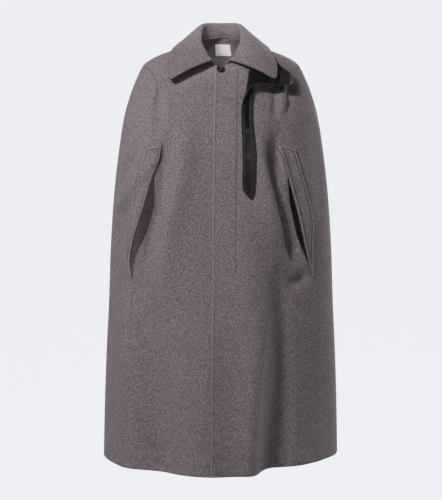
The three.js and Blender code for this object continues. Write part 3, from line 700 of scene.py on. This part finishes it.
def pathPoints(surface, path, spacing):
    # a path of x and z laid on a surface at even steps, closer than the spacing because the cloth slopes
    points = []
    for (x0, z0), (x1, z1) in zip(path[:-1], path[1:]):
        count = max(1, int(math.hypot(x1 - x0, z1 - z0) / spacing * sight["slope"]))
        for k in range(count):
            found, normal = onFront(surface, x0 + (x1 - x0) * k / count, z0 + (z1 - z0) * k / count)
            if found:
                points.append((found, normal))
    return points


def segmentsOf(points):
    return [(first[0], second[0]) for first, second in zip(points[:-1], points[1:])]


woolLook = woolFinish("woolCoating", lines=faceLines)
plainWoolLook = woolFinish("woolCoatingPlain", lines=[edgePaintedShade])
# the collar is the same wool painted darker, as painted shade
shadedCollarLook = woolFinish("woolCollarShaded", shade=0.88, lines=[edgePaintedShade])
placketLine = [(0.0425, -0.08), (0.0405, -0.2), (0.0385, -0.34), (0.036, -0.5), (0.0352, -0.592)]

frontLeft, rim = shellFrom("front_left", "frontLeftPanel", shell["fineLevels"])
drape(frontLeft, frontCreases)
leftSurface = surfaceOf(frontLeft)
leftPoints = vertexPoints(frontLeft)
writeAttribute(frontLeft, "edge", distancesTo(leftPoints, rim, creases=frontCreases))
closure = [pair for pair in rim if max(pair[0].x, pair[1].x) < 0.0]
writeAttribute(frontLeft, "closure", distancesTo(leftPoints, closure, creases=frontCreases))
dartPoints = pathPoints(leftSurface, seams["leftDart"], 0.003)
writeAttribute(frontLeft, "dart", distancesTo(leftPoints, segmentsOf(dartPoints)))
placketPoints = pathPoints(leftSurface, placketLine, 0.004)
writeAttribute(frontLeft, "placket", distancesTo(leftPoints, segmentsOf(placketPoints)))
frontLeft.data.materials.append(woolLook)
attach(frontLeft, "root")
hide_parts("front_left")

frontRight, rim = shellFrom("front_right", "frontRightPanel", shell["fineLevels"])
drape(frontRight, frontCreases)
rightSurface = surfaceOf(frontRight)
rightPoints = vertexPoints(frontRight)
writeAttribute(frontRight, "edge", distancesTo(rightPoints, rim, creases=frontCreases))
dartPoints = pathPoints(rightSurface, seams["rightDart"], 0.003)
writeAttribute(frontRight, "dart", distancesTo(rightPoints, segmentsOf(dartPoints)))
for name in ("placket", "closure"):
    writeAttribute(frontRight, name, np.full(len(rightPoints), 1.0))
frontRight.data.materials.append(woolLook)
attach(frontRight, "root")
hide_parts("front_right")
print("fronts ready:", len(frontLeft.data.polygons), len(frontRight.data.polygons), "faces")

back, rim = shellFrom("back", "backPanel")
drape(back, backCreases)
writeAttribute(back, "edge", distancesTo(vertexPoints(back), rim, 2 * shell["rimStep"], backCreases))
back.data.materials.append(plainWoolLook)
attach(back, "root")
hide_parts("back")
print("back ready:", len(back.data.polygons), "faces")

placketStrip, rim = shellFrom("placket_strip", "placketStripPanel")
drape(placketStrip, frontCreases)
writeAttribute(placketStrip, "edge", distancesTo(vertexPoints(placketStrip), rim, creases=frontCreases))
placketStrip.data.materials.append(plainWoolLook)
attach(placketStrip, "root")
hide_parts("placket_strip")

welts = {}
for side, nodeName in (("right", "welt_right"), ("left", "welt_left")):
    piece, rim = shellFrom(nodeName, side + "SlitWelt", 2)
    drape(piece, frontCreases)
    writeAttribute(piece, "edge", distancesTo(vertexPoints(piece), rim, creases=frontCreases))
    piece.data.materials.append(woolFinish(side + "WoolWelt", lines=weltLines(weltShare[side])))
    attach(piece, "root")
    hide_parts(nodeName)
    welts[side] = piece
print("welts ready")

collar, rim = shellFrom("collar", "collarPanel")
writeAttribute(collar, "edge", distancesTo(vertexPoints(collar), rim))
collar.data.materials.append(shadedCollarLook)
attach(collar, "root")
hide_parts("collar")
print("collar ready:", len(collar.data.polygons), "faces")


# Leather strap

strap = {
    "leather": (0.0045, 0.0046, 0.0054),
    "worn": (0.009, 0.0092, 0.0102),
    # paler colour for rubbed edges, the rough loop end and its zigzag, and for the painted highlight on the
    # edges
    "rubbedAndHighlight": (0.075, 0.075, 0.08),
    # colour of the painted highlight round the slots
    "thread": (0.11, 0.11, 0.12),
    "sewnEnd": (0.063, -0.052),
    "shine": 0.17,
    "grainDepth": 0.0007,
    "edgeWearAndHighlight": (0.0026, 0.0006),  # distances from the edge at which the pale worn edge and its painted highlight start and are full
    "slotRimHighlight": (0.0022, 0.0004),
    "stitchInset": 0.0056,
    "stitchWidth": 0.0013,
    "roughAt": 0.15,  # distances from the sewn end
    "roughHalf": 0.05,
    "zigzagPitch": 0.008,
    "zigzagReach": 0.22,
    "foldHighlightAt": 0.3,
    "foldHighlightReach": (0.075, 0.03),
    "tipBelow": -0.37,
    "smoothing": 3,
    "slots": [(0.0655, -0.24), (0.0685, -0.3045)],
    "slotLength": 0.012,
    "slotWidth": 0.0028,
    "slotDepth": 0.012,
    "stitchPath": [
        (0.0755, -0.138), (0.0745, -0.152), (0.0715, -0.177), (0.0705, -0.207), (0.074, -0.248),
        (0.077, -0.29), (0.077, -0.338), (0.0757, -0.386), (0.0722, -0.4005), (0.0585, -0.3845),
        (0.058, -0.338), (0.0575, -0.291), (0.0565, -0.252), (0.0555, -0.216), (0.0545, -0.2),
    ],
}


def measureStrap(piece):
    # walks the ribbon from its sewn end, ring by ring: along is the length walked, across runs edge to edge
    work = bmesh.new()
    work.from_mesh(piece.data)
    work.verts.ensure_lookup_table()
    start = Vector((strap["sewnEnd"][0], 0, strap["sewnEnd"][1]))
    # the first ring: the four corners nearest to the sewn end and what lies between them
    ends = [vertex for vertex in work.verts if len(vertex.link_edges) == 3]
    ends.sort(key=lambda vertex: (Vector((vertex.co.x, 0, vertex.co.z)) - start).length)
    ring = {vertex.index for vertex in ends[:4]}
    corners = [vertex.co for vertex in ends[:4]]
    spread = max((a - b).length for a in corners for b in corners)
    middle = sum(corners, Vector()) / 4
    for vertex in work.verts:
        joined = any(edge.other_vert(vertex).index in ring for edge in vertex.link_edges)
        if joined and (vertex.co - middle).length < spread * 0.3:
            ring.add(vertex.index)
    layer = {index: 0 for index in ring}
    frontier, rings = list(ring), [sorted(ring)]
    while frontier:
        following = set()
        for index in frontier:
            for edge in work.verts[index].link_edges:
                other = edge.other_vert(work.verts[index]).index
                if other not in layer:
                    following.add(other)
        for index in following:
            layer[index] = len(rings)
        if following:
            rings.append(sorted(following))
        frontier = list(following)
    along = np.zeros(len(work.verts))
    across = np.zeros(len(work.verts))
    walked, previousMiddle, previousAxis = 0.0, None, None
    for members in rings:
        points = [work.verts[index].co for index in members]
        ringMiddle = sum(points, Vector()) / len(points)
        pair = max(((a, b) for a in points for b in points), key=lambda ab: (ab[0] - ab[1]).length)
        axis = pair[1] - pair[0]
        if previousAxis is not None and axis.dot(previousAxis) < 0:
            axis = -axis
        if previousMiddle is not None:
            walked += (ringMiddle - previousMiddle).length
        for index in members:
            along[index] = walked
            across[index] = 0.5 + (work.verts[index].co - ringMiddle).dot(axis) / axis.length_squared
        previousMiddle, previousAxis = ringMiddle, axis
    work.free()
    print("strap rings:", len(rings), "length:", round(walked, 3))
    return along, across


strapPiece, rim = shellFrom("strap", "leatherStrap", 0, strap["tipBelow"])
along, across = measureStrap(strapPiece)
writeAttribute(strapPiece, "along", along)
writeAttribute(strapPiece, "across", across)
applyModifier(strapPiece, "SUBSURF", levels=strap["smoothing"], render_levels=strap["smoothing"])
strapCreases = [crease for crease in frontCreases if "clothOnly" not in crease]
drape(strapPiece, strapCreases)
strapSurface = surfaceOf(strapPiece)


def cutSlots(piece, surface):
    # two slots with round ends, and the outlines that their painted highlight borders follow
    outlines = []
    halfWidth = strap["slotWidth"] / 2
    halfLength = strap["slotLength"] / 2 - halfWidth
    for x, z in strap["slots"]:
        point = onFront(surface, x, z)[0]
        deselectAll()
        bpy.ops.mesh.primitive_cylinder_add(vertices=24, radius=halfWidth, depth=strap["slotDepth"])
        drill = bpy.context.object
        drill.data.transform(Matrix.Rotation(math.pi / 2, 4, "X"))
        for vertex in drill.data.vertices:
            vertex.co.z += halfLength if vertex.co.z > 0 else -halfLength
        drill.data.transform(Matrix.Translation(point))
        applyModifier(piece, "BOOLEAN", operation="DIFFERENCE", object=drill, solver="EXACT")
        ring = sorted(
            (v.co.copy() for v in drill.data.vertices if v.co.y < point.y),
            key=lambda spot: math.atan2(spot.x - point.x, spot.z - point.z),
        )
        ring = [Vector((spot.x, point.y, spot.z)) for spot in ring]
        outlines += list(zip(ring, ring[1:] + ring[:1]))
        bpy.data.objects.remove(drill)
    return outlines


slotOutlines = cutSlots(strapPiece, strapSurface)
strapVertices = vertexPoints(strapPiece)
writeAttribute(strapPiece, "edge", distancesTo(strapVertices, rim, 0.001, strapCreases))
writeAttribute(strapPiece, "slot", distancesTo(strapVertices, slotOutlines, 0.0005))
for face in strapPiece.data.polygons:
    face.use_smooth = True
strapPiece.data.materials.append(leatherFinish())
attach(strapPiece, "root")
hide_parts("strap")
print("strap ready:", len(strapPiece.data.polygons), "faces")


# Sewing: one stitch is modelled once and repeated along each row

sewing = {"pitch": 0.0042, "length": 0.0031, "width": 0.0008, "height": 0.001, "raised": 0.0001}
overSewing = {"pitch": 0.0011, "length": 0.0009, "width": 0.0034, "height": 0.001, "raised": 0.0001}
threadLook = threadFinish("stitchThread", (0.06, 0.048, 0.056), (0.13, 0.108, 0.122))
leatherThreadLook = threadFinish("leatherThread", (0.1, 0.1, 0.108), (0.24, 0.24, 0.255))
holeThreadLook = threadFinish("buttonholeThread", (0.1, 0.08, 0.088), (0.27, 0.225, 0.235))


def stitchRow(name, places, look=threadLook, stitch=sewing):
    # places are points on the cloth with their directions, in order
    deselectAll()
    bpy.ops.mesh.primitive_uv_sphere_add(segments=6, ring_count=4, radius=0.5)
    single = bpy.context.object
    shape = readPoints(single)
    faces = [tuple(face.vertices) for face in single.data.polygons]
    bpy.data.objects.remove(single)
    corners, polygons = [], []
    travelled, nextAt = 0.0, 0.0
    for (point, normal), (following, followingNormal) in zip(places[:-1], places[1:]):
        run = following - point
        length = run.length
        if length < 1e-6:
            continue
        while nextAt <= travelled + length:
            share = (nextAt - travelled) / length
            forward = run.normalized()
            up = normal.lerp(followingNormal, share).normalized()
            sideways = up.cross(forward).normalized()
            middle = point.lerp(following, share) + up * stitch["raised"]
            first = len(corners)
            for x, y, z in shape:
                long, wide, high = z * stitch["length"], x * stitch["width"], y * stitch["height"]
                corners.append(middle + forward * long + sideways * wide + up * high)
            polygons += [tuple(first + k for k in face) for face in faces]
            nextAt += stitch["pitch"]
        travelled += length
    mesh = bpy.data.meshes.new(name)
    mesh.from_pydata(corners, [], polygons)
    row = bpy.data.objects.new(name, mesh)
    bpy.context.collection.objects.link(row)
    for face in mesh.polygons:
        face.use_smooth = True
    mesh.materials.append(look)
    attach(row, "root")
    return row


def rowInside(piece, side):
    # points at an even distance inside one long edge of an upright strip, side 1 for the edge at larger x
    surface, points = surfaceOf(piece), readPoints(piece)
    top, end = points[:, 2].max() - weltRow["fromTop"], points[:, 2].min() + weltRow["fromEnd"]
    places = []
    for z in np.arange(top, end, -weltRow["step"]):
        level = points[np.abs(points[:, 2] - z) < weltRow["reach"], 0]
        x = level.max() - weltRow["inset"] if side > 0 else level.min() + weltRow["inset"]
        place = onFront(surface, float(x), float(z))
        if place[0]:
            places.append(place)
    return places


placketStitches = stitchRow("placketStitches", placketPoints)
for side, outer in (("left", 1), ("right", -1)):
    stitchRow(side + "WeltOuterStitches", rowInside(welts[side], outer))
    stitchRow(side + "WeltInnerStitches", rowInside(welts[side], -outer))
strapPoints = pathPoints(strapSurface, strap["stitchPath"], 0.002)
stitchRow("strapStitches", strapPoints, leatherThreadLook)
buttonholePath = [(0.0065, -0.0755), (0.016, -0.0763), (0.027, -0.0775)]
buttonholePoints = pathPoints(leftSurface, buttonholePath, 0.001)
buttonholeStitches = stitchRow("buttonholeStitches", buttonholePoints, holeThreadLook, overSewing)
print("sewing ready")


# Button with four holes and its thread; its buttonhole is sewn with the rows above

button = {
    "radius": 0.0105,
    "height": 0.0042,
    "rim": 0.0024,
    "slope": 0.0009,
    "dish": 0.0012,
    "floorIn": 0.001,
    "floorStep": 0.0001,
    "rounding": 0.0007,
    "hole": 0.0011,
    "holeAt": 0.0023,
    "thread": 0.0007,
    "threadRounding": 0.0004,
    "threadRaised": 0.0002,
    "lift": 0.0012,
    "tones": [(0.35, (0.006, 0.004, 0.0035)), (0.55, (0.014, 0.008, 0.006)), (0.75, (0.07, 0.045, 0.03))],
}


def buttonPiece():
    # a dished disc with four holes and a crossed thread, laid on the cloth where the solid is
    low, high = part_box("button")
    centre = (Vector(low) + Vector(high)) / 2
    deselectAll()
    bpy.ops.mesh.primitive_cylinder_add(vertices=48, radius=button["radius"], depth=button["height"])
    disc = bpy.context.object
    disc.name = "coatButton"
    bpy.ops.object.mode_set(mode="EDIT")
    bpy.ops.mesh.select_all(action="DESELECT")
    bpy.ops.object.mode_set(mode="OBJECT")
    for face in disc.data.polygons:
        face.select = face.normal.z > 0.9
    bpy.ops.object.mode_set(mode="EDIT")
    bpy.ops.mesh.inset(thickness=button["rim"], depth=0)
    bpy.ops.mesh.inset(thickness=button["slope"], depth=-button["dish"])
    bpy.ops.mesh.inset(thickness=button["floorIn"], depth=-button["floorStep"])
    bpy.ops.object.mode_set(mode="OBJECT")
    limit = {"limit_method": "ANGLE", "angle_limit": math.radians(35)}
    applyModifier(disc, "BEVEL", width=button["rounding"], segments=3, **limit)
    for index in range(4):
        angle = math.radians(45 + 90 * index)
        deselectAll()
        spot = (button["holeAt"] * math.cos(angle), button["holeAt"] * math.sin(angle), 0)
        bpy.ops.mesh.primitive_cylinder_add(vertices=16, radius=button["hole"], depth=0.02, location=spot)
        drill = bpy.context.object
        applyModifier(disc, "BOOLEAN", operation="DIFFERENCE", object=drill, solver="EXACT")
        bpy.data.objects.remove(drill)
    # thread: two bars across the holes
    bars = []
    for turn in (45, 135):
        deselectAll()
        bpy.ops.mesh.primitive_cylinder_add(vertices=10, radius=button["thread"], depth=2 * button["holeAt"])
        bar = bpy.context.object
        bar.data.transform(Matrix.Rotation(math.radians(90), 4, "X"))
        bar.data.transform(Matrix.Rotation(math.radians(turn), 4, "Z"))
        floor = button["height"] / 2 - button["dish"]
        bar.data.transform(Matrix.Translation((0, 0, floor + button["threadRaised"])))
        bars.append(bar)
    deselectAll()
    for bar in bars:
        bar.select_set(True)
    bpy.context.view_layer.objects.active = bars[0]
    bpy.ops.object.join()
    threads = bpy.context.object
    threads.name = "buttonThread"
    applyModifier(threads, "BEVEL", width=button["threadRounding"], segments=2, limit_method="ANGLE")
    point, normal = onFront(leftSurface, centre.x, centre.z)
    turned = Vector((0, 0, 1)).rotation_difference(normal).to_matrix().to_4x4()
    lift = Matrix.Translation(point + normal * (button["height"] / 2 + button["lift"]))
    for piece in (disc, threads):
        piece.data.transform(lift @ turned)
    activate(disc)
    bpy.ops.object.shade_smooth_by_angle(angle=math.radians(40))
    disc.data.materials.append(hornFinish())
    threads.data.materials.append(threadLook)
    return disc, threads


coatButton, buttonThread = buttonPiece()
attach(coatButton, "root")
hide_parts("button")
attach(buttonThread, "root")
print("button ready")


# Label inside the back, bare of any lettering

label = {
    "cloth": (0.9, 0.89, 0.92),
    "shade": (0.8, 0.79, 0.83),
    "line": (0.4, 0.39, 0.43),
    "ribPitch": 0.0009,
    "ribDepth": 0.0004,
    "turnedIn": 0.003,
    "turnedWidth": 0.0006,
}
labelPiece, rim = shellFrom("neck_label", "neckLabel", 3)
writeAttribute(labelPiece, "edge", distancesTo(vertexPoints(labelPiece), rim, 0.0008))
labelPiece.data.materials.append(labelFinish())
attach(labelPiece, "root")
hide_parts("neck_label")
print("label ready")
